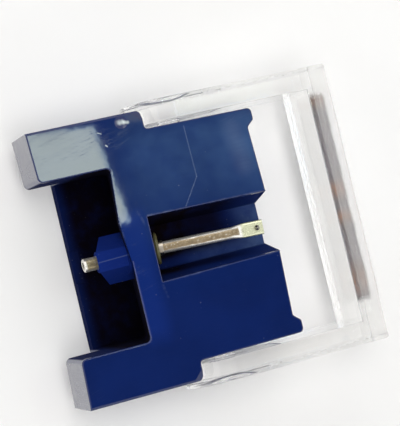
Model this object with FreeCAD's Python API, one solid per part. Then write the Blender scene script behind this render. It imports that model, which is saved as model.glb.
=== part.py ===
"""Turntable stylus: a moulded holder with its suspension, cantilever, diamond and hinged clear guard.

The part lies on its back with the record side up. X runs from the rear ends of the arms to the
guard's front bar, Y across the holder, Z up towards the record side. Lengths are in millimetres.
"""
import FreeCAD, Part
import math
import os

Vector = FreeCAD.Vector
AXIS_X = Vector(1, 0, 0)
AXIS_Y = Vector(0, 1, 0)
AXIS_Z = Vector(0, 0, 1)

# Holder moulding, with stations along X measured from the rear ends of the arms
holder_width = 17.0
holder_height = 7.6
holder_front = 14.07
arm_width = 3.1
arm_height = 4.4
arm_rake = 0.12
web_rear = 4.6
web_thickness = 1.6
web_bulge = 0.22
web_bulge_place = 2.0
web_bulge_rise = 3.2
web_bulge_fall = 2.4
web_bulge_depth = 0.5
pocket_undercut = 1.5
pocket_corner_radius = 0.3
back_plate = 1.0
back_plate_setback = 2.5
lead_in_width = 2.2
lead_in_length = 0.5
lead_in_depth = 0.3
step_station = 7.35
block_width_rear = 14.6
block_width_front = 14.44
front_rake = 0.15
nose_slope_length = 1.4
nose_slope_height = 2.2
ear_length = 0.47
ear_width = 0.77
ear_slope = 0.4
outer_corner_radius = 0.3
inner_corner_radius = 0.2
arm_corner_radius = 0.35
arm_bevel = 0.15
edge_round = 0.08
corner_facet = 0.75
sink_mark_radius = 0.4
sink_mark_depth = 0.1
sink_mark_inset = 0.52
sink_mark_setback = 1.4

# Channel that the cantilever lies over
channel_depth = 2.45
channel_width_rear = 4.1
channel_width_front = 3.8
channel_floor_rear = 2.8
channel_floor_front = 2.6

# Suspension: one axis through the pivot, raised towards the diamond
pivot_station = 5.9
pivot_depth = 1.5
cantilever_angle = 15.0
cantilever_skew = 1.7
cantilever_reach = 7.53
cantilever_diameter = 0.74
cantilever_wall = 0.07
cantilever_tail = 0.4
flat_length = 1.24
flat_thickness = 0.36
flat_width = 0.92
joint_pipe_wall = 0.1
joint_pipe_rear = 0.9
joint_pipe_front = 1.2
magnet_diameter = 0.9
magnet_length = 1.1
damper_clearance = 0.1
damper_wall = 0.2
damper_rear = 0.6
collar_diameter = 2.0
collar_start = 0.7
collar_length = 0.22
collar_round = 0.08
bore_clearance = 0.08
bore_rear = 2.2
tie_wire_diameter = 0.1
tie_wire_gap = 0.15
tie_wire_length = 0.58

# Carrier plug and the tube at its nose
carrier_width = 3.0
carrier_rise = 1.5
carrier_drop = 1.3
carrier_flat = 1.2
carrier_start = 3.45
carrier_nose = 3.0
carrier_rake = 28.0
nose_land = 0.25
neck_diameter = 2.3
tube_diameter = 0.84
tube_spigot_diameter = 0.5
tube_spigot_bore = 0.3
tube_bore = 0.46
tube_bore_depth = 0.6
tube_rear = 2.08
tube_front = 3.62
tube_round = 0.07

# Tip
shank_diameter = 0.32
shank_height = 0.3
shank_setback = 0.4
diamond_height = 0.34
diamond_point_radius = 0.03

# Clear guard, a U that turns on two pins
guard_front = 19.93
guard_height = 4.3
guard_bar = 1.54
guard_wall = 1.4
guard_corner_radius = 0.12
guard_edge_round = 0.06
tab_rear = 6.75
tab_clearance = 0.06
tab_thickness = 0.41
lobe_clearance = 0.1
pin_diameter = 1.4
pin_reach = 0.75
pin_clearance = 0.05
pin_end_clearance = 0.1
pin_relief_diameter = 3.3
pin_relief_depth = 0.25

# Thin strip let into the back of the guard's bar
strip_length = 14.4
strip_width = 0.78
strip_offset = 0.4
strip_thickness = 0.05

# Places worked out from the sizes above
half_width = holder_width / 2
arm_inner = half_width - arm_width
arm_underside = holder_height - arm_height
web_front = web_rear + web_thickness
front_outer = holder_front - front_rake
pivot = Vector(pivot_station, 0, holder_height - pivot_depth)
rise = math.radians(cantilever_angle)
tube_height = pivot.z - (pivot_station - tube_front) * math.tan(rise)
cantilever_radius = cantilever_diameter / 2
joint_pipe_radius = cantilever_radius + joint_pipe_wall
damper_bore_radius = joint_pipe_radius + damper_clearance
damper_radius = damper_bore_radius + damper_wall
bore_radius = damper_radius + bore_clearance
hinge_height = holder_height - guard_height / 2
lobe_radius = guard_height / 2
hinge_station = step_station + lobe_radius + lobe_clearance
guard_outer = half_width + tab_clearance + tab_thickness
guard_inner = guard_outer - guard_wall
flank_share = (hinge_station - step_station) / (front_outer + ear_length - step_station)
flank = (block_width_rear + (block_width_front - block_width_rear) * flank_share) / 2
pin_end = flank - pin_reach
hinge_centre = Vector(hinge_station, 0, hinge_height)
frame_shift = Vector(-guard_front / 2, 0, 0)


def face_of(points):
    """A flat face inside a closed outline of 3-D points."""
    return Part.Face(Part.makePolygon(points + [points[0]]))


def plan_prism(outline, low, high):
    """Extrudes a plan outline of (x, y) points from one height to another."""
    return face_of([Vector(x, y, low) for x, y in outline]).extrude(AXIS_Z * (high - low))


def side_prism(outline, width):
    """Extrudes a side outline of (x, z) points across Y, centred on the middle plane."""
    return face_of([Vector(x, -width / 2, z) for x, z in outline]).extrude(AXIS_Y * width)


def mirrored(outline):
    """Closes a half outline of (x, y) points over the middle plane."""
    return outline + [(x, -y) for x, y in reversed(outline)]


def tilted(shape, skew=cantilever_skew):
    """Turns a shape built along the line of the tube to the cantilever's rise and its slight skew."""
    turned = shape.copy()
    turned.rotate(pivot, AXIS_Y, -cantilever_angle)
    turned.rotate(pivot, AXIS_Z, -skew)
    return turned


def along_axis(radius, start, end):
    """A cylinder on the untilted suspension axis, between two distances from the pivot."""
    return Part.makeCylinder(radius, end - start, pivot + AXIS_X * start, AXIS_X)


def revolved(profile):
    """Turns an outline of (distance from the pivot, radius) points about the suspension axis."""
    outline = face_of([pivot + Vector(s, 0, r) for s, r in profile])
    return outline.revolve(pivot, AXIS_X, 360)


def upright_edges(shape, places):
    """The edges parallel to Z that stand at the given (x, y) places, on both sides of the middle."""
    found = []
    for edge in shape.Edges:
        ends = [v.Point for v in edge.Vertexes]
        if len(ends) != 2 or (ends[1] - ends[0]).cross(AXIS_Z).Length > 1e-6:
            continue
        if any(math.hypot(ends[0].x - x, abs(ends[0].y) - y) < 1e-4 for x, y in places):
            found.append(edge)
    return found


def record_side_edges(shape):
    """The edges that lie in the record-side face."""
    return [e for e in shape.Edges
            if all(abs(e.valueAt(p).z - holder_height) < 1e-6 for p in e.ParameterRange)]


def holder_outline():
    """Half of the holder's plan, from the arm's inner rear corner round to the channel."""
    rear = block_width_rear / 2
    front = block_width_front / 2
    ear_front = front_outer + ear_length
    return [
        (holder_front, channel_width_front / 2),
        (front_outer, front - ear_width - ear_slope),
        (ear_front, front - ear_width),
        (ear_front, front),
        (step_station, rear),
        (step_station, half_width),
        (0, half_width),
        (arm_rake, arm_inner),
    ]


def holder_block():
    """The holder's outside: plan outline, rounded corners, sloped nose and rear undercut."""
    half = holder_outline()
    block = plan_prism(mirrored(half), 0, holder_height)
    block = block.makeFillet(inner_corner_radius, upright_edges(block, [half[1], half[2], half[4]]))
    block = block.makeFillet(outer_corner_radius, upright_edges(block, [half[3], half[5]]))
    reach = front_outer + ear_length
    slope = side_prism([(reach - nose_slope_length, 0), (reach, 0), (reach, nose_slope_height)],
                       holder_width)
    notch = side_prism([(0, 0), (back_plate_setback, 0), (back_plate_setback, arm_underside),
                        (0, arm_underside)], holder_width)
    return block.cut(slope).cut(notch)


def pocket():
    """The space between the arms, undercut below the web so that it opens towards the back plate."""
    depth = holder_height - back_plate
    slant = pocket_undercut / depth
    overrun = 0.5
    top = holder_height + overrun
    room = side_prism([(-overrun, back_plate), (web_rear + pocket_undercut, back_plate),
                       (web_rear - slant * overrun, top), (-overrun, top)], 2 * arm_inner)
    corners = [e for e in room.Edges if e.BoundBox.XMin > 0 and e.BoundBox.YLength < 1e-6
               and e.BoundBox.ZLength > depth]
    return room.makeFillet(pocket_corner_radius, corners)


def channel():
    """The groove with sloping walls that runs from the web to the front."""
    overrun = 1.0

    def section(x, floor_width, top_width):
        """A trapezium across the channel, run on above the record-side face."""
        lean = (top_width - floor_width) / 2 / channel_depth * overrun
        low = holder_height - channel_depth
        high = holder_height + overrun
        return Part.makePolygon([
            Vector(x, -floor_width / 2, low), Vector(x, floor_width / 2, low),
            Vector(x, top_width / 2 + lean, high), Vector(x, -top_width / 2 - lean, high),
            Vector(x, -floor_width / 2, low)])

    rear = section(web_front, channel_floor_rear, channel_width_rear)
    front = section(holder_front + overrun, channel_floor_front, channel_width_front)
    return Part.makeLoft([rear, front], True, True)


def bulge():
    """The low swelling of the web's rear edge over the plug, as the moulding shows it."""
    middle = web_rear + web_thickness / 2
    high = web_bulge_place + web_bulge_rise
    low = web_bulge_place - web_bulge_fall
    outline = [(middle, high), (web_rear, high), (web_rear - web_bulge, web_bulge_place), (web_rear, low),
               (middle, low)]
    return plan_prism(outline, holder_height - web_bulge_depth, holder_height)


def lead_in():
    """The ramp in the middle of the back plate's rear edge."""
    start = back_plate_setback
    return side_prism([(start, back_plate), (start + lead_in_length, back_plate),
                       (start, back_plate - lead_in_depth)], lead_in_width)


def hinge_holes():
    """Blind holes in the flanks for the guard's pins."""
    radius = pin_diameter / 2 + pin_clearance
    bottom = pin_end - pin_end_clearance
    holes = [Part.makeCylinder(radius, half_width - bottom, hinge_centre + AXIS_Y * (side * bottom),
                               AXIS_Y * side) for side in (1, -1)]
    return holes[0].fuse(holes[1])


def arm_bevels():
    """Wedges that take the bevel off the arms' outer edges on the record side."""
    wedges = []
    for side in (1, -1):
        edge = Vector(0, side * half_width, holder_height)
        outline = face_of([edge, edge - AXIS_Y * (side * arm_bevel), edge - AXIS_Z * arm_bevel])
        wedges.append(outline.extrude(AXIS_X * step_station))
    return wedges


def corner_facets():
    """Small sloping facets that take the record-side corners off the two steps."""
    facets = []
    for side in (1, -1):
        corner = Vector(step_station, side * half_width, holder_height)
        feet = [corner - AXIS_X * corner_facet, corner - AXIS_Y * side * corner_facet,
                corner - AXIS_Z * corner_facet / 2]
        beyond = corner + Vector(1, side, 1) * corner_facet
        faces = [face_of([feet[a], feet[b], beyond]) for a, b in ((0, 1), (1, 2), (2, 0))]
        facets.append(Part.Solid(Part.Shell(faces + [face_of(feet)])))
    return facets


def sink_mark():
    """The shallow round dent beside one step, as the moulding shows it."""
    ball = (sink_mark_radius ** 2 + sink_mark_depth ** 2) / (2 * sink_mark_depth)
    place = Vector(step_station - sink_mark_setback, half_width - sink_mark_inset,
                   holder_height + ball - sink_mark_depth)
    return Part.makeSphere(ball, place)


def neck_hole():
    """The round hole through the web for the carrier's neck."""
    hole = Part.makeCylinder(neck_diameter / 2, holder_front, Vector(0, 0, pivot.z), AXIS_X)
    web = side_prism([(back_plate_setback, back_plate), (web_front, back_plate),
                      (web_front, holder_height), (back_plate_setback, holder_height)], holder_width)
    return hole.common(web)


def softened(body):
    """The body with its record-side edges rounded, where its sizes leave room for that."""
    rounded = body.makeFillet(edge_round, record_side_edges(body))
    return rounded if rounded.isValid() else body


def make_holder():
    """The blue moulding: arms, web, channelled block, pocket and back plate in one piece."""
    body = holder_block().cut(pocket()).cut(channel()).cut(lead_in()).cut(hinge_holes())
    body = body.makeFillet(arm_corner_radius, upright_edges(body, [(arm_rake, arm_inner)]))
    body = softened(body).fuse(bulge()).removeSplitter()
    for wedge in arm_bevels() + corner_facets():
        body = body.cut(wedge)
    return body.cut(sink_mark()).cut(neck_hole())


def carrier_section(x):
    """Six-sided section of the carrier at one station."""
    half = [(carrier_flat / 2, carrier_rise), (carrier_width / 2, 0), (carrier_flat / 2, -carrier_drop)]
    outline = half + [(-y, z) for y, z in reversed(half)]
    points = [Vector(x, y, tube_height + z) for y, z in outline]
    return Part.makePolygon(points + [points[0]])


def make_carrier():
    """The six-sided plug with its raked nose, its neck through the web and its two bores."""
    lean = math.tan(math.radians(carrier_rake))
    rear = carrier_start - carrier_rise * lean
    top, foot = tube_height + carrier_rise + nose_land, tube_height - carrier_drop - nose_land
    shank = Part.makeLoft([carrier_section(rear), carrier_section(web_front)], True, True)
    behind = side_prism([(rear - lean * nose_land, top), (carrier_start, tube_height), (carrier_start, foot),
                         (rear - nose_land, foot), (rear - nose_land, top)], carrier_width * 2)
    land = Part.makeCylinder(tube_diameter / 2 + nose_land, carrier_start - carrier_nose + nose_land,
                             Vector(carrier_nose, 0, tube_height), AXIS_X)
    depth = holder_height - back_plate
    wall = side_prism([(web_rear, holder_height), (web_rear + pocket_undercut, back_plate),
                       (holder_front, back_plate), (holder_front, holder_height)], holder_width)
    neck_start = carrier_start + bore_rear / 2
    neck_foot = Vector(neck_start, 0, pivot.z)
    neck = Part.makeCylinder(neck_diameter / 2, web_front - neck_start, neck_foot, AXIS_X)
    plug = shank.cut(behind).fuse(land).cut(wall).fuse(neck)
    bore = tilted(along_axis(bore_radius, -bore_rear, depth))
    tube_hole = Part.makeCylinder(tube_spigot_diameter / 2, tube_front - carrier_nose + bore_radius,
                                  Vector(carrier_nose, 0, tube_height), AXIS_X)
    return plug.cut(bore).cut(tube_hole).removeSplitter()


def make_anchor_tube():
    """The plated tube, shouldered on the carrier's nose, that holds the tie wire's end in its bore."""
    def length_of(radius, start, end):
        """A cylinder on the tube's line between two stations."""
        return Part.makeCylinder(radius, end - start, Vector(start, 0, tube_height), AXIS_X)

    outside = length_of(tube_diameter / 2, tube_rear, carrier_nose)
    rim = [e for e in outside.Edges if e.CenterOfMass.x < tube_rear + 1e-6]
    outside = outside.makeFillet(tube_round, rim)
    spigot = length_of(tube_spigot_diameter / 2, carrier_nose, tube_front)
    mouth = length_of(tube_bore / 2, tube_rear, tube_rear + tube_bore_depth)
    bore = length_of(tube_spigot_bore / 2, tube_rear, tube_front)
    return outside.fuse(spigot).cut(mouth).cut(bore)


def make_tie_wire():
    """The thin wire from the tube's mouth to just behind the magnet, without the cantilever's skew."""
    front = -joint_pipe_rear - magnet_length - tie_wire_gap
    return tilted(along_axis(tie_wire_diameter / 2, front - tie_wire_length, front), 0)


def make_damper():
    """The rubber sleeve in the carrier's bore, with the collar that shows before the web."""
    collar = collar_diameter / 2
    collar_end = collar_start + collar_length
    return tilted(revolved([
        (-damper_rear, damper_bore_radius), (-damper_rear, damper_radius), (collar_start, damper_radius),
        (collar_start, collar - collar_round), (collar_start + collar_round, collar),
        (collar_end - collar_round, collar), (collar_end, collar - collar_round),
        (collar_end, damper_bore_radius)]))


def make_joint_pipe():
    """The short pipe that joins the cantilever to the magnet."""
    return tilted(along_axis(joint_pipe_radius, -joint_pipe_rear, joint_pipe_front)
                  .cut(along_axis(cantilever_radius, -joint_pipe_rear, joint_pipe_front)))


def make_magnet():
    """The rod magnet behind the joint pipe."""
    return tilted(along_axis(magnet_diameter / 2, -joint_pipe_rear - magnet_length, -joint_pipe_rear))


def flattened_section(distance, width, thickness):
    """A rounded flat section of the tube at one distance from the pivot, flush with its far side."""
    radius = thickness / 2
    centre_height = thickness / 2 - cantilever_radius
    straight = (width - thickness) / 2
    middle = pivot + Vector(distance, 0, centre_height)
    left = middle - AXIS_Y * straight
    right = middle + AXIS_Y * straight
    up = AXIS_Z * radius
    return Part.Wire([
        Part.LineSegment(left + up, right + up).toShape(),
        Part.Arc(right + up, right + AXIS_Y * radius, right - up).toShape(),
        Part.LineSegment(right - up, left - up).toShape(),
        Part.Arc(left - up, left - AXIS_Y * radius, left + up).toShape()])


def make_cantilever():
    """The thin tube with its end pressed flat on the record side, pierced for the shank."""
    flat_start = cantilever_reach - flat_length
    bend = cantilever_diameter
    straight = 1e-3
    round_end = flattened_section(flat_start - bend, cantilever_diameter, cantilever_diameter - straight)
    tube = along_axis(cantilever_radius, -cantilever_tail, flat_start - bend)
    flat_rear = flattened_section(flat_start, flat_width, flat_thickness)
    flat_end = flattened_section(cantilever_reach, flat_width, flat_thickness)
    taper = Part.makeLoft([round_end, flat_rear], True, True)
    flat = Part.makeLoft([flat_rear, flat_end], True, True)
    bore = along_axis(cantilever_radius - cantilever_wall, -cantilever_tail, flat_start - bend)
    return tilted(tube.fuse(taper).fuse(flat).cut(bore).cut(shank_stem(shank_diameter / 2)))


def shank_stem(radius):
    """The round stem that stands through the flattened end."""
    low = -cantilever_radius
    high = low + flat_thickness + shank_height
    foot = pivot + Vector(cantilever_reach - shank_setback, 0, low)
    return Part.makeCylinder(radius, high - low, foot, AXIS_Z)


def make_tip_shank():
    """The metal shank that carries the diamond."""
    return tilted(shank_stem(shank_diameter / 2))


def make_diamond():
    """The diamond: a cone with a small rounded point."""
    top = flat_thickness + shank_height - cantilever_radius
    foot = pivot + Vector(cantilever_reach - shank_setback, 0, top)
    cone = Part.makeCone(shank_diameter / 2, diamond_point_radius, diamond_height, foot, AXIS_Z)
    point = [e for e in cone.Edges if e.BoundBox.ZMin > foot.z + diamond_height - 1e-6]
    return tilted(cone.makeFillet(diamond_point_radius * 0.6, point))


def arm_side(rear, low, high):
    """Side outline of a guard arm with a round rear end, as a face on the middle plane."""
    radius = (high - low) / 2
    centre = rear + radius
    middle = (low + high) / 2
    return Part.Face(Part.Wire([
        Part.LineSegment(Vector(centre, 0, low), Vector(guard_front, 0, low)).toShape(),
        Part.LineSegment(Vector(guard_front, 0, low), Vector(guard_front, 0, high)).toShape(),
        Part.LineSegment(Vector(guard_front, 0, high), Vector(centre, 0, high)).toShape(),
        Part.Arc(Vector(centre, 0, high), Vector(rear, 0, middle), Vector(centre, 0, low)).toShape()]))


def arm_layer(rear, inner, outer, side):
    """One layer of a guard arm between two distances from the middle plane."""
    outline = arm_side(rear, holder_height - guard_height, holder_height)
    layer = outline.extrude(AXIS_Y * (side * (outer - inner)))
    layer.translate(AXIS_Y * (side * inner))
    return layer


def make_strip():
    """The thin strip on the back of the bar, flush in a seat along the front edge."""
    corner = Vector(guard_front - strip_width, strip_offset - strip_length / 2,
                    holder_height - guard_height)
    return Part.makeBox(strip_width, strip_length, strip_thickness, corner)


def make_guard():
    """The clear U: arms with round rear ends and thin outer tabs, front bar, hinge pins and reliefs."""
    low = holder_height - guard_height
    guard = Part.makeBox(guard_bar, 2 * guard_outer, guard_height,
                         Vector(guard_front - guard_bar, -guard_outer, low))
    for side in (1, -1):
        guard = guard.fuse(arm_layer(hinge_station - lobe_radius, guard_inner, guard_outer, side))
        guard = guard.fuse(arm_layer(tab_rear, half_width + tab_clearance, guard_outer, side))
    guard = guard.removeSplitter()
    guard = guard.makeFillet(guard_corner_radius, upright_edges(guard, [(guard_front, guard_outer)]))
    bar_rear = guard_front - guard_bar - 1e-6
    bar_front = guard_front - guard_corner_radius - 1e-6
    flat = [e for e in guard.Edges if e.BoundBox.ZLength < 1e-6 and e.BoundBox.XMax > bar_rear
            and (e.BoundBox.ZMin > low + 1e-6 or e.BoundBox.XMin < bar_front)]
    guard = guard.makeFillet(guard_edge_round, flat)
    for side in (1, -1):
        pin = Part.makeCylinder(pin_diameter / 2, guard_outer - pin_relief_depth - pin_end,
                                hinge_centre + AXIS_Y * (side * pin_end), AXIS_Y * side)
        dish = (pin_relief_diameter ** 2 / 4 + pin_relief_depth ** 2) / (2 * pin_relief_depth)
        relief_centre = hinge_centre + AXIS_Y * (side * (guard_outer + dish - pin_relief_depth))
        guard = guard.fuse(pin).cut(Part.makeSphere(dish, relief_centre))
    return guard.cut(make_strip()).removeSplitter()


def export(parts):
    """Writes each piece to its own file, with the whole centred over the middle of its length."""
    os.makedirs("parts", exist_ok=True)
    for name, shape in parts.items():
        placed = shape.copy()
        placed.translate(frame_shift)
        placed.exportStep(os.path.join("parts", name + ".step"))
        solids = len(placed.Solids)
        print(f"{name}: {solids} solid, {placed.Volume:.3f} mm3, valid {placed.isValid()}")


export({
    "stylus_holder": make_holder(),
    "suspension_carrier": make_carrier(),
    "anchor_tube": make_anchor_tube(),
    "tie_wire": make_tie_wire(),
    "damper": make_damper(),
    "joint_pipe": make_joint_pipe(),
    "magnet": make_magnet(),
    "cantilever": make_cantilever(),
    "tip_shank": make_tip_shank(),
    "diamond_tip": make_diamond(),
    "stylus_guard": make_guard(),
    "guard_strip": make_strip(),
})
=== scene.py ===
import logging
import math
from dataclasses import dataclass
from enum import Enum
from typing import Any, Mapping, Sequence, Union

import bpy
import numpy as np
from mathutils import Matrix, Vector


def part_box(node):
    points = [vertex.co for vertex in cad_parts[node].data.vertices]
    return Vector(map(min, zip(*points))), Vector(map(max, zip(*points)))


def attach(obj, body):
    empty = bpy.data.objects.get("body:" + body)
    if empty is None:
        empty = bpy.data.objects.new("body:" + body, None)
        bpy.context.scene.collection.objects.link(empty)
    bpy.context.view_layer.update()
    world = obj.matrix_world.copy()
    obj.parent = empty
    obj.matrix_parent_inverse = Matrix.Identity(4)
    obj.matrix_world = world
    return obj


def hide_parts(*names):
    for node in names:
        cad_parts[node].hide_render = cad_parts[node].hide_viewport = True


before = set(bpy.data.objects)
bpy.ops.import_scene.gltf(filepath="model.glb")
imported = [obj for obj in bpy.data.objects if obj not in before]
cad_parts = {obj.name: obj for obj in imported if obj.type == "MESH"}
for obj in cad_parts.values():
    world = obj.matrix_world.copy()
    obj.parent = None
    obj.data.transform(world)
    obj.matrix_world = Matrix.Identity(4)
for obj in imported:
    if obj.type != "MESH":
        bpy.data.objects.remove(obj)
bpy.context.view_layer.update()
LOG = logging.getLogger("stylus")
MM = 0.001
Span = tuple[float, float]
Triple = tuple[float, float, float]
Colour = Triple
Operand = Union["Signal", float]
Stroke = tuple[Span, Span]
Mark = tuple[Stroke, float]


class Body(Enum):
    """Rigid bodies that pieces ride on."""

    HOLDER = "holder"
    DAMPER = "damper"
    CANTILEVER = "cantilever"
    GUARD = "guard"


class Grain(Enum):
    """Directions in which a drawn metal's fine lines run."""

    ALONG_X = 0.0
    ALONG_CANTILEVER = 15.0


class Signal:
    """One output socket of a node, with arithmetic that adds Math nodes."""

    def __init__(self, sheet: "NodeSheet", socket: bpy.types.NodeSocket) -> None:
        """Keeps the socket and the sheet that it belongs to."""
        self.sheet = sheet
        self.socket = socket

    def __add__(self, other: Operand) -> "Signal":
        """Sum of two values."""
        return self.sheet.math("ADD", self, other)

    def __radd__(self, other: Operand) -> "Signal":
        """Sum with a number on the left."""
        return self.sheet.math("ADD", other, self)

    def __sub__(self, other: Operand) -> "Signal":
        """Difference of two values."""
        return self.sheet.math("SUBTRACT", self, other)

    def __rsub__(self, other: Operand) -> "Signal":
        """Difference with a number on the left."""
        return self.sheet.math("SUBTRACT", other, self)

    def __mul__(self, other: Operand) -> "Signal":
        """Product of two values."""
        return self.sheet.math("MULTIPLY", self, other)

    def __rmul__(self, other: Operand) -> "Signal":
        """Product with a number on the left."""
        return self.sheet.math("MULTIPLY", other, self)

    def __truediv__(self, other: Operand) -> "Signal":
        """Quotient of two values."""
        return self.sheet.math("DIVIDE", self, other)

    def __rtruediv__(self, other: Operand) -> "Signal":
        """Quotient with a number on the left."""
        return self.sheet.math("DIVIDE", other, self)

    def absolute(self) -> "Signal":
        """Size of the value without its sign."""
        return self.sheet.math("ABSOLUTE", self, 0.0)

    def root(self) -> "Signal":
        """Square root of the value."""
        return self.sheet.math("SQRT", self, 0.0)

    def lower_of(self, other: Operand) -> "Signal":
        """Smaller of two values."""
        return self.sheet.math("MINIMUM", self, other)

    def step(self, low: float, high: float) -> "Signal":
        """Smooth step from 0 at low to 1 at high.

        Args:
            low: Value at which the step starts, above high for a falling step.
            high: Value at which the step is done.

        Returns:
            The stepped value, held between 0 and 1.
        """
        falls = low > high
        first, last = (high, low) if falls else (low, high)
        ends = (1.0, 0.0) if falls else (0.0, 1.0)
        node = self.sheet.add("ShaderNodeMapRange", {"interpolation_type": "SMOOTHSTEP"},
                              {0: self, 1: first, 2: last, 3: ends[0], 4: ends[1]})
        return Signal(self.sheet, node.outputs[0])


class NodeSheet:
    """A node tree that is filled by short calls."""

    def __init__(self, tree: bpy.types.NodeTree) -> None:
        """Clears the tree and keeps it."""
        self.tree = tree
        tree.nodes.clear()

    def add(self, kind: str, settings: Mapping[str, Any],
            values: Mapping[Union[str, int], Any]) -> bpy.types.Node:
        """Adds one node.

        Args:
            kind: Blender's type name of the node.
            settings: Node properties, set before the sockets.
            values: Socket name or number to a number, a colour or a signal.

        Returns:
            The new node.
        """
        node = self.tree.nodes.new(kind)
        for key, value in settings.items():
            setattr(node, key, value)
        for key, value in values.items():
            if isinstance(value, Signal):
                self.tree.links.new(value.socket, node.inputs[key])
            elif isinstance(value, tuple) and node.inputs[key].type == "RGBA":
                node.inputs[key].default_value = (*value, 1.0)
            else:
                node.inputs[key].default_value = value
        return node

    def math(self, operation: str, first: Operand, second: Operand) -> Signal:
        """One Math node as a signal."""
        node = self.add("ShaderNodeMath", {"operation": operation}, {0: first, 1: second})
        return Signal(self, node.outputs[0])

    def place(self) -> Signal:
        """The point's place in the row frame, in metres."""
        return Signal(self, self.add("ShaderNodeTexCoord", {}, {}).outputs["Object"])

    def axes(self, vector: Signal) -> tuple[Signal, Signal, Signal]:
        """The three parts of a vector, in millimetres where the vector is in metres."""
        parts = self.add("ShaderNodeSeparateXYZ", {}, {0: vector})
        return tuple(Signal(self, out) * 1000.0 for out in parts.outputs)

    def spot(self) -> "Spot":
        """The shaded point with its place and its coordinates."""
        place = self.place()
        return Spot(self, place, *self.axes(place))

    def vector(self, x: Operand, y: Operand, z: Operand) -> Signal:
        """A vector from three values."""
        return Signal(self, self.add("ShaderNodeCombineXYZ", {}, {0: x, 1: y, 2: z}).outputs[0])

    def noise(self, vector: Signal, scale: float, detail: float = 3.0, roughness: float = 0.55) -> Signal:
        """Fractal noise.

        Args:
            vector: Place of the point.
            scale: Bumps per unit of the vector.
            detail: Number of finer layers.
            roughness: Share of the finer layers.

        Returns:
            Value from 0 to 1.
        """
        node = self.add("ShaderNodeTexNoise", {"noise_dimensions": "3D"},
                        {"Vector": vector, "Scale": scale, "Detail": detail, "Roughness": roughness})
        return Signal(self, node.outputs[0])

    def specks(self, vector: Signal, scale: float, radius: float) -> Signal:
        """Round spots, one in each cell of a random grid, as a mask.

        Args:
            vector: Place in units of the scale.
            scale: Cells per unit.
            radius: Largest spot radius as a share of a cell.

        Returns:
            Mask that is 1 in the spots.
        """
        cell = self.add("ShaderNodeTexVoronoi", {"feature": "F1"}, {"Vector": vector, "Scale": scale})
        parts = self.add("ShaderNodeSeparateColor", {}, {0: Signal(self, cell.outputs["Color"])})
        size = Signal(self, parts.outputs[0]) * radius
        return (size - Signal(self, cell.outputs["Distance"])).step(0.0, radius * 0.5)

    def mix(self, factor: Operand, first: Union[Colour, Signal], second: Union[Colour, Signal]) -> Signal:
        """Colour between two colours.

        Args:
            factor: Share of the second colour.
            first: Colour at 0.
            second: Colour at 1.

        Returns:
            The mixed colour.
        """
        node = self.add("ShaderNodeMix", {"data_type": "RGBA", "clamp_factor": True},
                        {0: factor, 6: first, 7: second})
        return Signal(self, node.outputs[2])

    def bump(self, height: Signal, strength: float, distance: float) -> Signal:
        """Normal of a surface with small relief of the given height in metres."""
        node = self.add("ShaderNodeBump", {}, {"Strength": strength, "Distance": distance, "Height": height})
        return Signal(self, node.outputs[0])

    def segment(self, x: Signal, y: Signal, start: Sequence[float], end: Sequence[float]) -> Signal:
        """Distance from a point to a straight stroke.

        Args:
            x: First coordinate of the point.
            y: Second coordinate of the point.
            start: The stroke's first end.
            end: The stroke's other end.

        Returns:
            Distance in the units of the coordinates.
        """
        dx, dy = end[0] - start[0], end[1] - start[1]
        length = dx * dx + dy * dy
        share = ((x - start[0]) * (dx / length) + (y - start[1]) * (dy / length)).lower_of(1.0)
        share = self.math("MAXIMUM", share, 0.0)
        off_x = x - start[0] - share * dx
        off_y = y - start[1] - share * dy
        return (off_x * off_x + off_y * off_y).root()

    def shader(self, values: Mapping[str, Any]) -> Signal:
        """Adds a Principled shader with these sockets."""
        return Signal(self, self.add("ShaderNodeBsdfPrincipled", {}, values).outputs[0])

    def blend(self, factor: Signal, first: Signal, second: Signal) -> Signal:
        """Shader between two shaders."""
        return Signal(self, self.add("ShaderNodeMixShader", {}, {0: factor, 1: first, 2: second}).outputs[0])

    def output(self, shader: Signal) -> None:
        """Joins a shader to the material's output."""
        self.add("ShaderNodeOutputMaterial", {}, {"Surface": shader})

    def surface(self, values: Mapping[str, Any]) -> None:
        """Adds a Principled shader with these sockets and joins it to the output."""
        self.output(self.shader(values))


@dataclass(frozen=True)
class Spot:
    """A shaded point: its place in metres and its coordinates in millimetres, on one sheet."""

    sheet: NodeSheet
    place: Signal
    x: Signal
    y: Signal
    z: Signal

    def grain(self, scale: float, detail: float, roughness: float = 0.55) -> Signal:
        """Fractal noise of the place, with about scale bumps per metre."""
        return self.sheet.noise(self.place, scale, detail, roughness)

    def stroke(self, line: Stroke) -> Signal:
        """Distance in plan to a straight stroke, in millimetres."""
        return self.sheet.segment(self.x, self.y, *line)


def new_sheet(name: str) -> tuple[bpy.types.Material, NodeSheet]:
    """A new material with an empty sheet of nodes.

    Args:
        name: Name of the material.

    Returns:
        The material and its sheet.
    """
    material = bpy.data.materials.new(name)
    material.use_nodes = True
    return material, NodeSheet(material.node_tree)


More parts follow.
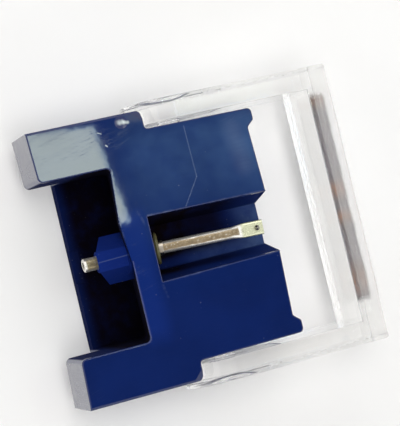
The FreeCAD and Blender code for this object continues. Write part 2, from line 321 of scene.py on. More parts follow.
@dataclass(frozen=True)
class HolderPlan:
    """Edges of the holder's hollows in millimetres: where each mask starts and where it is full."""

    pocket_front: Span = (-3.6, -3.8)
    pocket_side: Span = (5.5, 5.41)
    pocket_top: Span = (7.55, 7.25)
    # painted shade: where the darkening in the pocket deepens
    pocket_shade_reach: Span = (-7.7, -6.6)
    channel_rear: Span = (-3.9, -3.8)
    channel_side: Span = (2.25, 2.02)
    channel_top: Span = (7.55, 7.3)
    # painted shade: where the darkening in the channel deepens
    channel_shade_reach: Span = (3.4, 0.8)
    channel_corner: float = -1.52
    mouth: Span = (3.7, 3.85)
    mouth_top: Span = (7.55, 7.4)
    floor_top: Span = (5.6, 5.25)
    floor_foot: Span = (5.0, 5.1)
    floor_side: Span = (1.42, 1.3)
    floor_rear: Span = (-3.4, -3.0)
    web_rear: Span = (-5.75, -5.3)
    web_front: Span = (-3.5, -4.6)
    web_near: Span = (-6.2, -4.6)
    web_far: Span = (3.0, 2.0)
    end_face: Span = (-9.8, -9.87)
    end_top: Span = (7.5, 7.4)


@dataclass(frozen=True)
class MouldedPlastic:
    """Glossy coloured moulding with flow tone, smudges, dust, scratches, pale nicks and edge lines that are
    partly painted highlights, painted sheen, and painted shade in its hollows.
    """

    name: str
    base: Colour
    deep: Colour
    roughness: float = 0.03
    dust: float = 0.35
    gloss: float = 0.5
    painted_shade_strength: float = 1.0
    web: float = 0.45
    face: float = 7.4
    strokes: tuple[Stroke, ...] = ()
    soft_strokes: tuple[Stroke, ...] = ()
    nicks_and_glints: tuple[Mark, ...] = ()
    sheen_patches: tuple[Mark, ...] = ()
    plan: HolderPlan = HolderPlan()
    thin_tone: Colour = (0.008, 0.03, 0.215)
    # scratches, flash lines and pale edge lines; the edge lines are partly painted highlight
    scratch_and_highlight_tone: Colour = (0.2, 0.26, 0.42)
    # faint rubbed streaks, and painted sheen in the listed patches
    rub_and_sheen_tone: Colour = (0.26, 0.28, 0.38)
    # paler tone of the arms' end faces
    end_face_tone: Colour = (0.5, 0.5, 0.47)
    # pale nicks, one of them a painted highlight on the sink mark
    nick_and_glint_tone: Colour = (0.62, 0.68, 0.68)
    dust_tone: Colour = (0.42, 0.44, 0.46)
    # painted shade laid in the pocket and the channel
    painted_shade_tone: Colour = (0.0022, 0.001, 0.0012)
    # painted sheen on the channel's floor
    painted_sheen_tone: Colour = (0.075, 0.12, 0.24)
    grit_tone: Colour = (0.3, 0.33, 0.38)

    def hollows(self, spot: Spot) -> tuple[Signal, Signal]:
        """Masks of the pocket's and the channel's faces.

        Args:
            spot: The shaded point.

        Returns:
            Mask of the faces without gloss, and mask of the painted shade in the pocket and the channel, 1
            where it is deepest.
        """
        plan, x, y, z = self.plan, spot.x, spot.y, spot.z
        off = y.absolute()
        pocket = x.step(*plan.pocket_front) * off.step(*plan.pocket_side) * z.step(*plan.pocket_top)
        channel = x.step(*plan.channel_rear) * off.step(*plan.channel_side) * z.step(*plan.channel_top)
        mouth = x.step(*plan.mouth) * z.step(*plan.mouth_top)
        # painted shade: darker deeper in the pocket, and in the channel towards its rear, towards +y and
        # along its lower corner
        pocket_shade_depth = x.step(*plan.pocket_shade_reach) * 0.55 + 0.42
        shade = y.step(-1.1, -0.4) * 0.8 + x.step(-0.5, -2.6) * 0.4 + 0.1
        shade = shade + (y - plan.channel_corner).absolute().step(0.3, 0.05) * 0.55
        dark = pocket * pocket_shade_depth + channel * x.step(*plan.channel_shade_reach) * shade
        dark = dark.lower_of(1.0) * self.painted_shade_strength
        dark = dark * (spot.grain(900.0, 5.0, 0.65).step(0.15, 0.6) * 0.22 + 0.78)
        return (pocket + channel + mouth).lower_of(1.0), dark

    def painted_floor_sheen(self, spot: Spot) -> Signal:
        """Mask of the painted sheen on the channel's floor.

        Args:
            spot: The shaded point.

        Returns:
            Mask that is strongest at the channel's front and beside the cantilever.
        """
        plan, x, y, z = self.plan, spot.x, spot.y, spot.z
        floor = z.step(*plan.floor_top) * z.step(*plan.floor_foot)
        floor = floor * y.absolute().step(*plan.floor_side) * x.step(*plan.floor_rear)
        # painted sheen, strongest at the channel's front and beside the cantilever
        sheen = x.step(1.8, 3.8) * 0.38 + y.step(-0.3, -0.8) * x.step(-2.2, 1.0) * 0.16
        return floor * sheen * (spot.grain(1500.0, 4.0, 0.65).step(0.3, 0.65) * 0.6 + 0.6)

    def scratches(self, spot: Spot, upper: Signal) -> Signal:
        """Mask of hairlines, of the listed strokes and of the listed soft lines, which are flash lines and
        worn edges with a painted edge highlight.

        Args:
            spot: The shaded point.
            upper: Mask of the upper face.

        Returns:
            Mask that is strongest in the strokes.
        """
        sheet, x, y, z = spot.sheet, spot.x, spot.y, spot.z
        lines = sheet.vector(x * 0.16 + y * 0.05, y * 5.5 - x * 1.6, z * 0.4)
        hair = (sheet.noise(lines, 1.0, 2.0) - 0.5).absolute().step(0.006, 0.0)
        mark = hair * spot.grain(160.0, 2.0).step(0.5, 0.62) * 0.22
        worn = spot.grain(1300.0, 5.0, 0.65).step(0.42, 0.7)
        for line in self.strokes:
            mark = mark + spot.stroke(line).step(0.055, 0.0) * upper * 0.55
        # soft lines: flash lines, and worn edge lines that also paint edge highlights
        for line in self.soft_strokes:
            mark = mark + spot.stroke(line).step(0.13, 0.02) * upper * worn * 0.4
        return mark

    def dents_and_glints(self, spot: Spot, upper: Signal) -> Operand:
        """Mask of the ragged pale nicks; on the sink mark the pale dab is a painted highlight.

        Args:
            spot: The shaded point.
            upper: Mask of the upper face.

        Returns:
            Mask that is 1 in the nicks, or 0 where none are listed.
        """
        ragged = spot.grain(4200.0, 3.0, 0.6) - 0.5
        reaches = ((spot.stroke(line) + ragged * width, width) for line, width in self.nicks_and_glints)
        return sum((reach.step(width, 0.0) * upper for reach, width in reaches), 0.0)

    def rubbing_and_sheen(self, spot: Spot, upper: Signal) -> Signal:
        """Mask of rubbing and of painted sheen.

        Args:
            spot: The shaded point.
            upper: Mask of the upper face.

        Returns:
            Mask of faint rubbed streaks everywhere, stronger in the listed places where a sheen is painted.
        """
        rubbed = spot.sheet.noise(spot.sheet.vector(spot.x * 0.6, spot.y * 5.0, 0.0), 1.0, 4.0, 0.65)
        haze = (rubbed - 0.5).absolute() * 0.2
        for line, width in self.sheen_patches:
            # painted sheen in the listed patches
            haze = haze + spot.stroke(line).step(width, 0.0) * upper * (rubbed * 0.7 + 0.3)
        return haze

    def material(self) -> bpy.types.Material:
        """Builds the finish as a material.

        Returns:
            Glossy plastic, matt in the pocket, the channel and the mouth.
        """
        material, sheet = new_sheet(self.name)
        spot = sheet.spot()
        plan, place, x, y, z = self.plan, spot.place, spot.x, spot.y, spot.z
        upper = z.step(self.face - 0.1, self.face + 0.1)
        smudge = spot.grain(420.0, 5.0, 0.6).step(0.45, 0.75)
        matt, dark = self.hollows(spot)
        grit = sheet.specks(place, 3400.0, 0.17) * matt * spot.grain(500.0, 3.0).step(0.42, 0.6)
        dust = sheet.specks(place, 2300.0, 0.1) * spot.grain(300.0, 2.0).step(0.42, 0.62)
        dust = dust * (1.0 - dark) * self.dust
        mark = self.scratches(spot, upper)
        nick_and_glint = self.dents_and_glints(spot, upper)
        # the arms' end faces are made paler and rougher
        pale_ends = x.step(*plan.end_face) * z.step(*plan.end_top) * (smudge * 0.12 + 0.26)
        thin = x.step(*plan.web_rear) * x.step(*plan.web_front)
        thin = thin * y.step(*plan.web_near) * y.step(*plan.web_far) * upper
        colour = sheet.mix(spot.grain(240.0, 4.0).step(0.3, 0.7), self.deep, self.base)
        colour = sheet.mix(thin * self.web, colour, self.thin_tone)
        # scratches, flash lines and pale edge lines; the edge lines are partly painted highlight
        colour = sheet.mix(mark * 0.4, colour, self.scratch_and_highlight_tone)
        # rubbed streaks, and painted sheen on the upper face at the block's front end
        colour = sheet.mix(self.rubbing_and_sheen(spot, upper) * 0.13, colour, self.rub_and_sheen_tone)
        colour = sheet.mix(pale_ends, colour, self.end_face_tone)
        # pale nicks; on the sink mark the pale dab is a painted highlight
        colour = sheet.mix(nick_and_glint * 0.7, colour, self.nick_and_glint_tone)
        colour = sheet.mix(dust, colour, self.dust_tone)
        # painted shade in the pocket and the channel
        colour = sheet.mix(dark, colour, self.painted_shade_tone)
        # painted sheen on the channel's floor
        colour = sheet.mix(self.painted_floor_sheen(spot), colour, self.painted_sheen_tone)
        colour = sheet.mix(grit * 0.18, colour, self.grit_tone)
        relief = spot.grain(900.0, 2.0) * 0.6 - mark * 0.5 + dust * 0.4
        normal = sheet.bump(relief, 0.3, 0.000006)
        rough = smudge * 0.015 + mark * 0.25 + (dust + pale_ends + nick_and_glint) * 0.3 + self.roughness
        glossy = sheet.shader({"Base Color": colour, "Roughness": rough, "IOR": 1.5,
                               "Specular IOR Level": self.gloss, "Normal": normal})
        dull = sheet.shader({"Base Color": colour, "Roughness": 0.8, "Specular IOR Level": 0.03,
                             "Normal": normal})
        sheet.output(sheet.blend(matt, glossy, dull))
        return material


@dataclass(frozen=True)
class DrawnMetal:
    """Bright drawn metal with fine lines along its length, warm stains and worn patches."""

    name: str
    base: Colour
    stain: Colour
    roughness: float = 0.16
    grain: Grain = Grain.ALONG_X
    pit_tone: Colour = (0.2, 0.18, 0.15)

    def material(self) -> bpy.types.Material:
        """Builds the finish as a material.

        Returns:
            Metal with lines along its grain.
        """
        material, sheet = new_sheet(self.name)
        place = sheet.place()
        x, y, z = sheet.axes(place)
        turn = math.radians(self.grain.value)
        along = x * math.cos(turn) + z * math.sin(turn)
        across = z * math.cos(turn) - x * math.sin(turn)
        lines = sheet.noise(sheet.vector(along * 0.35, y * 22.0, across * 22.0), 1.0, 3.0)
        stain = sheet.noise(sheet.vector(along * 0.8, y * 2.0, across * 2.0), 1.0, 4.0).step(0.48, 0.72)
        pits = sheet.specks(place, 7000.0, 0.2)
        colour = sheet.mix(stain * 0.55, self.base, self.stain)
        colour = sheet.mix(pits * 0.5, colour, self.pit_tone)
        rough = lines * 0.14 + stain * 0.12 + pits * 0.2 + (self.roughness - 0.07)
        sheet.surface({"Base Color": colour, "Metallic": 1.0, "Roughness": rough,
                       "Normal": sheet.bump(lines - pits * 0.8, 0.3, 0.000004)})
        return material


@dataclass(frozen=True)
class TarnishedTubeWithPaintedReflection:
    """Old metal tube: brown-grey tarnish and a painted dark reflection along its upper side, bright along
    its flanks and at its ends.
    """

    name: str
    tarnish_and_reflection_tone: Colour
    bright: Colour
    tip: Colour
    rim: float
    reach: Span
    middle: Span = (0.0, 0.0)
    oxide: float = 0.5
    fleck_tone: Colour = (0.12, 0.085, 0.055)
    pit_tone: Colour = (0.12, 0.09, 0.06)

    def material(self) -> bpy.types.Material:
        """Builds the finish as a material.

        Returns:
            Material whose tarnish and painted dark reflection lie between the two stations of the reach and
            within the rim's distance of the middle line, which starts at the station and has the slope that
            the middle gives.
        """
        material, sheet = new_sheet(self.name)
        place = sheet.place()
        x, y, z = sheet.axes(place)
        station, slope = self.middle
        first, last = self.reach
        off = (y - (x - station) * slope).absolute()
        lines = sheet.noise(sheet.vector(x * 0.5, y * 20.0, z * 9.0), 1.0, 3.0)
        cloud = sheet.noise(sheet.vector(x * 1.4, y * 3.0, z * 3.0), 1.0, 4.0, 0.65)
        pits = sheet.specks(place, 6000.0, 0.22)
        within = x.step(first, first + 0.12) * x.step(last, last - 0.12)
        fleck = sheet.noise(place, 7000.0, 3.0, 0.7)
        uneven = (cloud - 0.5) * 0.2 + (fleck - 0.5) * 0.12
        # brown tarnish and a painted dark reflection along the tube's upper side
        tarnish_and_reflection = (off + uneven).step(self.rim + 0.06, self.rim - 0.06) * within
        colour = sheet.mix(x.step(last, last + 0.25), self.bright, self.tip)
        colour = sheet.mix(tarnish_and_reflection * (lines * 0.3 + cloud * 0.3 + 0.7), colour, self.tarnish_and_reflection_tone)
        colour = sheet.mix(tarnish_and_reflection * fleck.step(0.45, 0.7) * 0.6, colour, self.fleck_tone)
        colour = sheet.mix(tarnish_and_reflection * fleck.step(0.45, 0.25) * 0.5, colour, self.bright)
        colour = sheet.mix(pits * 0.5, colour, self.pit_tone)
        sheet.surface({"Base Color": colour, "Metallic": 1.0 - (tarnish_and_reflection * 0.6 + 0.4) * self.oxide,
                       "Roughness": lines * 0.12 + tarnish_and_reflection * 0.1 + 0.22,
                       "Normal": sheet.bump(lines + cloud - pits * 0.8, 0.3, 0.000005)})
        return material


@dataclass(frozen=True)
class SoftRubber:
    """Satin rubber with bloom, grain and lint."""

    name: str
    base: Colour
    bloom: Colour
    lint_tone: Colour = (0.45, 0.43, 0.36)

    def material(self) -> bpy.types.Material:
        """Builds the finish as a material.

        Returns:
            Satin rubber.
        """
        material, sheet = new_sheet(self.name)
        place = sheet.place()
        bloom = sheet.noise(place, 1600.0, 4.0).step(0.4, 0.75)
        grain = sheet.noise(place, 16000.0, 2.0)
        lint = sheet.specks(place, 5200.0, 0.2)
        colour = sheet.mix(bloom * 0.7, self.base, self.bloom)
        colour = sheet.mix(lint * 0.6, colour, self.lint_tone)
        sheet.surface({"Base Color": colour, "Roughness": bloom * 0.25 + 0.35,
                       "Normal": sheet.bump(grain + lint * 0.6, 0.4, 0.000008)})
        return material


@dataclass(frozen=True)
class ClearAcrylic:
    """Water-clear plastic with haze, hairline scratches, chipped edges and faint mould ripple."""

    name: str
    tint: Colour
    haze: Colour
    chips: tuple[Mark, ...] = ()
    face: float = 7.3
    roughness: float = 0.02
    clearness: float = 0.14

    def material(self) -> bpy.types.Material:
        """Builds the finish as a material.

        Returns:
            Clear plastic, frosted where its edges are chipped.
        """
        material, sheet = new_sheet(self.name)
        spot = sheet.spot()
        place, x, y, z = spot.place, spot.x, spot.y, spot.z
        haze = spot.grain(500.0, 5.0, 0.6).step(0.5, 0.8)
        lines = sheet.vector(x * 0.3 + y * 4.0, y * 0.25 - x * 3.0, z * 2.0)
        hair = (sheet.noise(lines, 1.0, 2.0) - 0.5).absolute().step(0.006, 0.0)
        specks = sheet.specks(place, 2600.0, 0.12)
        colour = sheet.mix(haze * 0.5 + specks * 0.5, self.tint, self.haze)
        ragged = spot.grain(2600.0, 4.0, 0.65) - 0.42
        upper = z.step(self.face, self.face + 0.1)
        chip = specks * 0.4
        for line, width in self.chips:
            reach = spot.stroke(line) + ragged * width * 5.0
            chip = chip + reach.step(width, width * 0.6) * upper
        chip = chip.lower_of(1.0)
        ripple = spot.grain(330.0, 2.0)
        sheet.surface({"Base Color": colour, "Transmission Weight": 1.0, "IOR": 1.49,
                       "Alpha": 1.0 - self.clearness,
                       "Roughness": haze * 0.05 + hair * 0.12 + chip * 0.6 + self.roughness,
                       "Normal": sheet.bump(ripple + specks * 0.1 - hair * 0.05 - chip, 0.25, 0.00002)})
        return material


@dataclass(frozen=True)
class AgedFilm:
    """Old film with a purple-grey ground, rust-brown blotches and pale worn places."""

    name: str
    ground: Colour
    rust: Colour
    worn: Colour
    edges: tuple[Span, Span]
    blotches: tuple[Span, ...] = ((7.0, 0.8), (0.95, 0.9), (-0.9, 0.75), (-5.0, 1.5))
    streak_tone: Colour = (0.15, 0.125, 0.17)
    spot_tone: Colour = (0.1, 0.08, 0.09)
    side_fade: float = 0.36
    end_fade: float = 0.75

    def material(self) -> bpy.types.Material:
        """Builds the finish as a material.

        Returns:
            Material with a rust blotch at each listed place, of the half length listed with it, and with
            frayed ends.
        """
        material, sheet = new_sheet(self.name)
        place = sheet.place()
        x, y, _ = sheet.axes(place)
        (left, near), (_, far) = self.edges
        flat = sheet.vector(y, x, 0.0)
        cloud = sheet.noise(flat, 0.9, 5.0, 0.65)
        streak = sheet.noise(sheet.vector(y * 0.7, x * 7.0, 2.3), 1.0, 4.0, 0.6)
        wear = sheet.noise(sheet.vector(y * 2.0, x * 5.0, 0.7), 1.0, 5.0, 0.7).step(0.52, 0.75)
        blotch = cloud.step(0.6, 0.75) * 0.4
        for middle, reach in self.blotches:
            blotch = blotch + (y - middle).absolute().step(reach, 0.0) * streak.step(0.25, 0.6)
        colour = sheet.mix(streak.step(0.4, 0.65) * 0.5, self.ground, self.streak_tone)
        colour = sheet.mix(blotch * 0.8, colour, self.rust)
        colour = sheet.mix(wear * 0.4, colour, self.worn)
        grain = sheet.noise(flat, 7.0, 3.0, 0.7)
        colour = sheet.mix(grain.step(0.5, 0.75) * 0.45, colour, self.worn)
        colour = sheet.mix(grain.step(0.5, 0.3) * 0.5, colour, self.spot_tone)
        fray = (cloud - 0.5) * 0.5 + (streak - 0.5) * 0.3
        alpha = (x - left + fray * 0.4).step(0.0, self.side_fade)
        for inside in (far - y, y - near):
            alpha = alpha * (inside + fray).step(0.0, self.end_fade)
        sheet.surface({"Base Color": colour, "Roughness": wear * 0.2 + 0.45, "Alpha": alpha,
                       "Normal": sheet.bump(cloud + streak * 0.3, 0.4, 0.000015)})
        return material


@dataclass(frozen=True)
class CutDiamond:
    """Dark polished diamond with faint growth bands."""

    name: str
    base: Colour
    band: Colour

    def material(self) -> bpy.types.Material:
        """Builds the finish as a material.

        Returns:
            Dark, partly clear stone.
        """
        material, sheet = new_sheet(self.name)
        place = sheet.place()
        bands = sheet.noise(place, 9000.0, 3.0).step(0.4, 0.65)
        sheet.surface({"Base Color": sheet.mix(bands, self.base, self.band), "Roughness": bands * 0.1 + 0.06,
                       "IOR": 2.42, "Transmission Weight": 0.35})
        return material


@dataclass(frozen=True)
class PaleTable:
    """Nearly white matt table with a faint warm cloud."""

    name: str
    base: Colour
    cloud: Colour

    def material(self) -> bpy.types.Material:
        """Builds the finish as a material.

        Returns:
            Matt white material.
        """
        material, sheet = new_sheet(self.name)
        place = sheet.place()
        cloud = sheet.noise(place, 38.0, 3.0).step(0.35, 0.7)
        sheet.surface({"Base Color": sheet.mix(cloud, self.base, self.cloud), "Roughness": 0.75,
                       "Specular IOR Level": 0.2})
        return material


def mesh_object(name: str, points: np.ndarray, faces: np.ndarray,
                material: bpy.types.Material) -> bpy.types.Object:
    """Makes an object at the origin from arrays.

    Args:
        name: Name of the object and of its mesh.
        points: Vertices, one row each, in metres.
        faces: Vertex numbers of the four corners, one row per face.
        material: Finish of the whole piece.

    Returns:
        The linked object.
    """
    mesh = bpy.data.meshes.new(name)
    mesh.from_pydata(points.tolist(), [], faces.tolist())
    mesh.materials.append(material)
    mesh.validate()
    made = bpy.data.objects.new(name, mesh)
    bpy.context.scene.collection.objects.link(made)
    return made


def dress(node: str, material: bpy.types.Material, smooth: float = 30.0) -> None:
    """Puts one finish on a CAD node and shades its curved faces smooth.

    Args:
        node: Name of the node.
        material: Its finish.
        smooth: Angle in degrees above which an edge stays sharp.
    """
    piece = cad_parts[node]
    mesh = piece.data
    mesh.materials.clear()
    mesh.materials.append(material)
    mesh.shade_smooth()
    mesh.set_sharp_from_angle(angle=math.radians(smooth))
    even = piece.modifiers.new("even_normals", "WEIGHTED_NORMAL")
    even.weight = 100
    even.keep_sharp = True
    LOG.info("dressed %s with %s", node, material.name)


@dataclass
class HolderAssembly:
    """The blue moulding and the plug that it carries."""

    scratches: tuple[Stroke, ...] = (((-0.16, 6.96), (-0.1, 3.74)), ((-0.1, 3.74), (-1.23, 2.1)))
    flash_lines: tuple[Stroke, ...] = (((-4.43, 2.9), (-3.97, 1.36)), ((-3.83, -2.24), (-3.66, -3.03)))
    # pale lines along the channel, web and arm edges: wear and painted edge highlights
    worn_edge_highlights: tuple[Stroke, ...] = (((-3.7, 2.08), (4.3, 1.93)), ((-3.7, -2.08), (4.3, -1.93)),
                                      ((-5.36, 5.3), (-5.58, 2.0)), ((-5.58, 2.0), (-5.36, -5.3)),
                                      ((-9.7, -5.42), (-5.4, -5.42)))
    # pale nicks; the first two paint the sink mark's highlight
    nicks_and_glints: tuple[Mark, ...] = ((((-4.1, 8.0), (-3.9, 7.98)), 0.24), (((-3.8, 7.95), (-3.6, 7.9)), 0.15),
                               (((-5.28, 6.8), (-5.2, 6.72)), 0.06), (((-5.6, 7.64), (-5.4, 7.54)), 0.045))
    # painted sheen patch on the upper face at the block's front end
    sheen_patches: tuple[Mark, ...] = ((((2.9, 6.1), (3.1, 3.8)), 1.0),)
    # a pale line along the middle of the carrier's top
    pale_middle_line: tuple[Stroke, ...] = (((-7.3, -0.02), (-5.4, 0.04)),)

    def finish(self) -> None:
        """Dresses the holder, the carrier, the tube and the wire."""
        holder_blue = MouldedPlastic("holder_blue", (0.0046, 0.0162, 0.105), (0.0038, 0.0134, 0.087),
                                     strokes=self.scratches,
                                     soft_strokes=self.flash_lines + self.worn_edge_highlights,
                                     nicks_and_glints=self.nicks_and_glints, sheen_patches=self.sheen_patches)
        # the carrier gets only a little painted shade in its hollows
        carrier_blue = MouldedPlastic("carrier_blue", (0.006, 0.021, 0.16), (0.005, 0.018, 0.14),
                                      roughness=0.3, dust=0.5, gloss=0.2, painted_shade_strength=0.12, web=0.0, face=6.8,
                                      strokes=self.pale_middle_line)
        # brown tarnish and a painted dark reflection along the rod's upper side
        plated = TarnishedTubeWithPaintedReflection("plated_tube", (0.3, 0.25, 0.14), (0.85, 0.82, 0.76), (0.4, 0.35, 0.25),
                               rim=0.32, reach=(-7.8, -6.9))
        dress("stylus_holder", holder_blue.material())
        dress("suspension_carrier", carrier_blue.material())
        dress("anchor_tube", plated.material())
        dress("tie_wire", DrawnMetal("steel_wire", (0.6, 0.6, 0.6), (0.4, 0.36, 0.3)).material())


@dataclass
class SuspensionAssembly:
    """Damper, pipe, magnet, cantilever and tip."""

    pipe: Colour = (0.42, 0.38, 0.32)
    # reach of the tarnish and painted dark reflection along the cantilever
    tarnish_and_reflection_reach: Span = (-4.5, 1.75)
    middle: Span = (-4.065, -0.0297)

    def finish(self) -> None:
        """Dresses every piece of the suspension."""
        tilt = Grain.ALONG_CANTILEVER
        pipe = DrawnMetal("grey_pipe", self.pipe, (0.24, 0.2, 0.15), 0.3, tilt)
        magnet = DrawnMetal("dark_magnet", (0.25, 0.25, 0.26), (0.16, 0.15, 0.15), 0.4, tilt)
        shank = DrawnMetal("shank_metal", (0.3, 0.28, 0.25), (0.16, 0.13, 0.1), 0.25, tilt)
        # brown tarnish and a painted dark reflection along the cantilever's upper side
        tube = TarnishedTubeWithPaintedReflection("cantilever_metal", (0.26, 0.195, 0.11), (0.9, 0.88, 0.82), (0.62, 0.63, 0.44),
                             rim=0.22, reach=self.tarnish_and_reflection_reach, middle=self.middle)
        dress("damper", SoftRubber("olive_rubber", (0.07, 0.065, 0.025), (0.14, 0.13, 0.06)).material())
        dress("joint_pipe", pipe.material())
        dress("magnet", magnet.material())
        dress("cantilever", tube.material())
        dress("tip_shank", shank.material())
        dress("diamond_tip", CutDiamond("diamond", (0.06, 0.05, 0.04), (0.16, 0.13, 0.09)).material(), 20.0)


@dataclass
class GuardAssembly:
    """The clear guard and the film strip on the back of its bar."""

    chips: tuple[Mark, ...] = ((((1.7, 8.68), (8.6, 8.68)), 0.14), (((2.6, -8.66), (8.6, -8.66)), 0.14),
                               (((1.8, -8.62), (2.1, -8.6)), 0.3), (((6.9, -8.4), (7.2, -8.38)), 0.3))
    air: float = 0.004
    wave: float = 0.01
    columns: int = 145
    rows: int = 30

    def strip_points(self) -> np.ndarray:
        """Both faces of the strip as one closed band of points.

        The first parameter goes once round the strip's section, over the face against the bar and back along
        the outer one. The second runs along the strip's length. The inner face keeps a film of air from the
        bar, and the outer face waves slightly inwards by a product of sines of the two parameters.

        Returns:
            Points by section, then by length, in metres.
        """
        low, high = (np.array(corner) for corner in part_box("guard_strip"))
        inset = self.air * MM
        along = np.linspace(low[1] + inset, high[1] - inset, self.columns)
        over = np.linspace(low[0] + inset, high[0] - inset, self.rows)
        across = np.concatenate([over, over[::-1]])[:, None] + np.zeros((1, self.columns))
        is_outer = np.repeat([0.0, 1.0], self.rows)[:, None]
        ripple = 0.5 + 0.5 * np.sin(across / MM * 5.1) * np.sin(along[None, :] / MM * 1.9)
        height = (1.0 - is_outer) * (high[2] - inset) + is_outer * (low[2] + ripple * self.wave * MM)
        return np.stack([across, np.broadcast_to(along[None, :], across.shape), height], axis=-1)

    def strip(self) -> bpy.types.Object:
        """Builds the film strip in place of its plain solid.

        Returns:
            The strip, riding on the guard.
        """
        grid = self.strip_points()
        count, length = grid.shape[:2]
        number = np.arange(count * length).reshape(count, length)
        after = np.roll(number, -1, axis=0)
        sides = np.stack([number[:, :-1], after[:, :-1], after[:, 1:], number[:, 1:]], axis=-1)
        front, back = number[:self.rows], number[self.rows:][::-1]
        near = np.stack([front[:-1, 0], front[1:, 0], back[1:, 0], back[:-1, 0]], axis=-1)
        far = np.stack([front[:-1, -1], front[1:, -1], back[1:, -1], back[:-1, -1]], axis=-1)[:, ::-1]
        low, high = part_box("guard_strip")
        edges = ((low[0] / MM, low[1] / MM), (high[0] / MM, high[1] / MM))
        film = AgedFilm("aged_film", (0.085, 0.072, 0.076), (0.26, 0.1, 0.026), (0.36, 0.31, 0.25), edges)
        faces = np.concatenate([sides.reshape(-1, 4), near, far])
        made = mesh_object("film_strip", grid.reshape(-1, 3), faces, film.material())
        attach(made, Body.GUARD.value)
        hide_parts("guard_strip")
        return made

    def finish(self) -> None:
        """Dresses the guard."""
        acrylic = ClearAcrylic("clear_acrylic", (1.0, 0.995, 0.98), (0.97, 0.965, 0.94), self.chips)
        dress("stylus_guard", acrylic.material())


@dataclass
class Softbox:
    """One rectangular lamp that faces the part."""

    name: str
    place: Triple
    size: float
    radiance: float
    colour: Colour = (1.0, 1.0, 1.0)
    mirrored: bool = True

    def build(self) -> bpy.types.Object:
        """Makes the lamp.

        Returns:
            The linked lamp.
        """
        lamp = bpy.data.lights.new(self.name, "AREA")
        lamp.shape = "SQUARE"
        lamp.size = self.size
        lamp.energy = self.radiance * math.pi * self.size ** 2
        lamp.color = self.colour
        made = bpy.data.objects.new(self.name, lamp)
        bpy.context.scene.collection.objects.link(made)
        made.location = self.place
        made.rotation_euler = (-Vector(self.place)).to_track_quat("-Z", "Y").to_euler()
        made.visible_glossy = self.mirrored
        return made


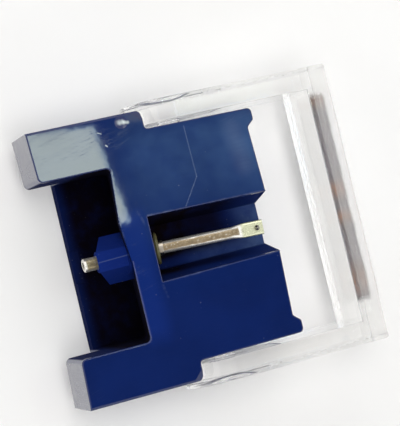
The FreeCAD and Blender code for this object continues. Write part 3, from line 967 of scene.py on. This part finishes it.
@dataclass
class Studio:
    """Table, overhead card, lamps, surroundings and camera."""

    floor_half: float = 1.5
    card_height: float = 0.2076
    mirror_scale: float = 3.275
    mirror_shift: Span = (66.4, -1.97)
    window_tone: Colour = (0.88, 1.0, 0.84)
    glow_tone: Colour = (0.67, 1.34, 1.98)
    eye: Triple = (-0.0292, 0.000867, 0.09549)
    right: Triple = (0.92463, -0.23354, 0.30086)
    up: Triple = (0.2199, 0.97232, 0.07896)
    back: Triple = (-0.31097, -0.00685, 0.95039)
    lens: float = 126.88
    ambient: float = 0.36

    def plane(self, name: str, low: Sequence[float], high: Sequence[float],
              material: bpy.types.Material) -> bpy.types.Object:
        """Makes a level stage plane.

        Args:
            name: Name of the plane.
            low: Its corner with the smallest x and y, and its height.
            high: Its opposite corner.
            material: Its finish.

        Returns:
            The plane.
        """
        (left, near, level), (right, far) = low, high
        corners = [(left, near, level), (right, near, level), (right, far, level), (left, far, level)]
        made = mesh_object(name, np.array(corners), np.array([[0, 1, 2, 3]]), material)
        return made

    def dark_material(self) -> bpy.types.Material:
        """The dark card over the part.

        Returns:
            Nearly black matt material.
        """
        material, sheet = new_sheet("overhead_card")
        tone = sheet.noise(sheet.place(), 20.0, 2.0).step(0.3, 0.7)
        colour = sheet.mix(tone, (0.02, 0.025, 0.03), (0.03, 0.035, 0.04))
        sheet.surface({"Base Color": colour, "Roughness": 0.9})
        return material

    def panel_material(self) -> bpy.types.Material:
        """The lit panel under the card.

        Returns:
            Material with a bright window, a dim mottled glow beside it and a pale rim, placed by the point
            of the part's upper face that mirrors them.
        """
        material, sheet = new_sheet("lit_panel")
        x, y, _ = sheet.axes(sheet.place())
        seen_x = (x - self.mirror_shift[0]) / self.mirror_scale
        seen_y = (y - self.mirror_shift[1]) / self.mirror_scale
        edge = seen_x + (seen_y - 8.19) * 0.144
        window = edge.step(-5.7, -5.95) * seen_y.step(1.85, 2.1)
        window = window * (seen_y + (seen_x + 9.9) * 0.09).step(8.55, 8.35)
        rim = seen_y.step(7.75, 7.95) * seen_x.step(-4.0, -3.5)
        mottle = sheet.noise(sheet.vector(seen_x, seen_y, 0.0), 0.9, 6.0, 0.65).step(0.25, 0.75)
        glow = seen_y.step(-1.5, 6.0) * seen_x.step(-6.0, -3.0) * (seen_x.step(0.5, 4.0) * 0.5 + 0.8)
        glow = glow * (mottle * 0.8 + 0.6) * (1.0 - rim) * (seen_y.step(7.2, 6.6) * 0.4 + 0.6)
        colour = sheet.mix(window + rim, self.glow_tone, self.window_tone)
        strength = window * 9.6 + glow * 0.9 + rim * 1.6 + 0.02
        emit = sheet.add("ShaderNodeEmission", {}, {"Color": colour, "Strength": strength})
        sheet.output(Signal(sheet, emit.outputs[0]))
        return material

    def surroundings(self) -> None:
        """White surroundings for what is seen, mirrored or looked through, and plain light elsewhere."""
        world = bpy.data.worlds.new("surroundings")
        bpy.context.scene.world = world
        world.use_nodes = True
        sheet = NodeSheet(world.node_tree)
        path = sheet.add("ShaderNodeLightPath", {}, {})
        seen = Signal(sheet, path.outputs["Is Camera Ray"])
        for name in ("Is Glossy Ray", "Is Transmission Ray"):
            seen = sheet.math("MAXIMUM", seen, Signal(sheet, path.outputs[name]))
        strength = seen * (1.0 - self.ambient) + self.ambient
        light = sheet.add("ShaderNodeBackground", {}, {"Color": (1.0, 1.0, 1.0), "Strength": strength})
        sheet.add("ShaderNodeOutputWorld", {}, {"Surface": Signal(sheet, light.outputs[0])})

    def camera(self) -> None:
        """The camera at the photograph's place and angle."""
        data = bpy.data.cameras.new("camera")
        data.lens = self.lens
        data.sensor_width = 36.0
        data.clip_start = 0.002
        data.clip_end = 20.0
        made = bpy.data.objects.new("camera", data)
        bpy.context.scene.collection.objects.link(made)
        turn = Matrix((self.right, self.up, self.back)).transposed()
        made.matrix_world = Matrix.Translation(self.eye) @ turn.to_4x4()
        bpy.context.scene.camera = made

    def build(self) -> None:
        """Builds the whole stage."""
        bpy.context.scene.view_settings.view_transform = "Standard"
        table = PaleTable("pale_table", (0.935, 0.927, 0.918), (0.9, 0.887, 0.875)).material()
        half = self.floor_half
        self.plane("table", (-half, -half, -0.00002), (half, half), table)
        self.plane("card", (0.026, -0.036, self.card_height + 0.001), (0.087, 0.034), self.dark_material())
        self.plane("panel", (0.028, -0.012, self.card_height), (0.087, 0.032), self.panel_material())
        lamps = (Softbox("top_lamp_left", (-0.05, 0.052, 0.3), 0.1, 7.3, mirrored=False),
                 Softbox("top_lamp_right", (-0.05, -0.052, 0.3), 0.1, 7.3, mirrored=False),
                 Softbox("key_lamp", (-0.04, 0.22, 0.19), 0.16, 1.9, (1.0, 0.98, 0.96)),
                 Softbox("rear_lamp", (-0.26, 0.02, 0.16), 0.16, 1.2),
                 Softbox("front_lamp", (0.27, 0.04, 0.17), 0.16, 1.0),
                 Softbox("low_lamp", (0.02, -0.25, 0.15), 0.16, 0.9, (0.97, 0.98, 1.0)))
        for lamp in lamps:
            lamp.build()
            LOG.info("lit %s", lamp.name)
        self.surroundings()
        self.camera()


def keep_sizes() -> None:
    """Updates the view layer after the new pieces."""
    bpy.context.view_layer.update()


def main() -> None:
    """Dresses the part, adds its strip and builds the studio."""
    logging.basicConfig(level=logging.INFO, format="%(name)s: %(message)s")
    HolderAssembly().finish()
    SuspensionAssembly().finish()
    guard = GuardAssembly()
    guard.finish()
    LOG.info("built %s", guard.strip().name)
    Studio().build()
    keep_sizes()


if __name__ == "__main__":
    main()
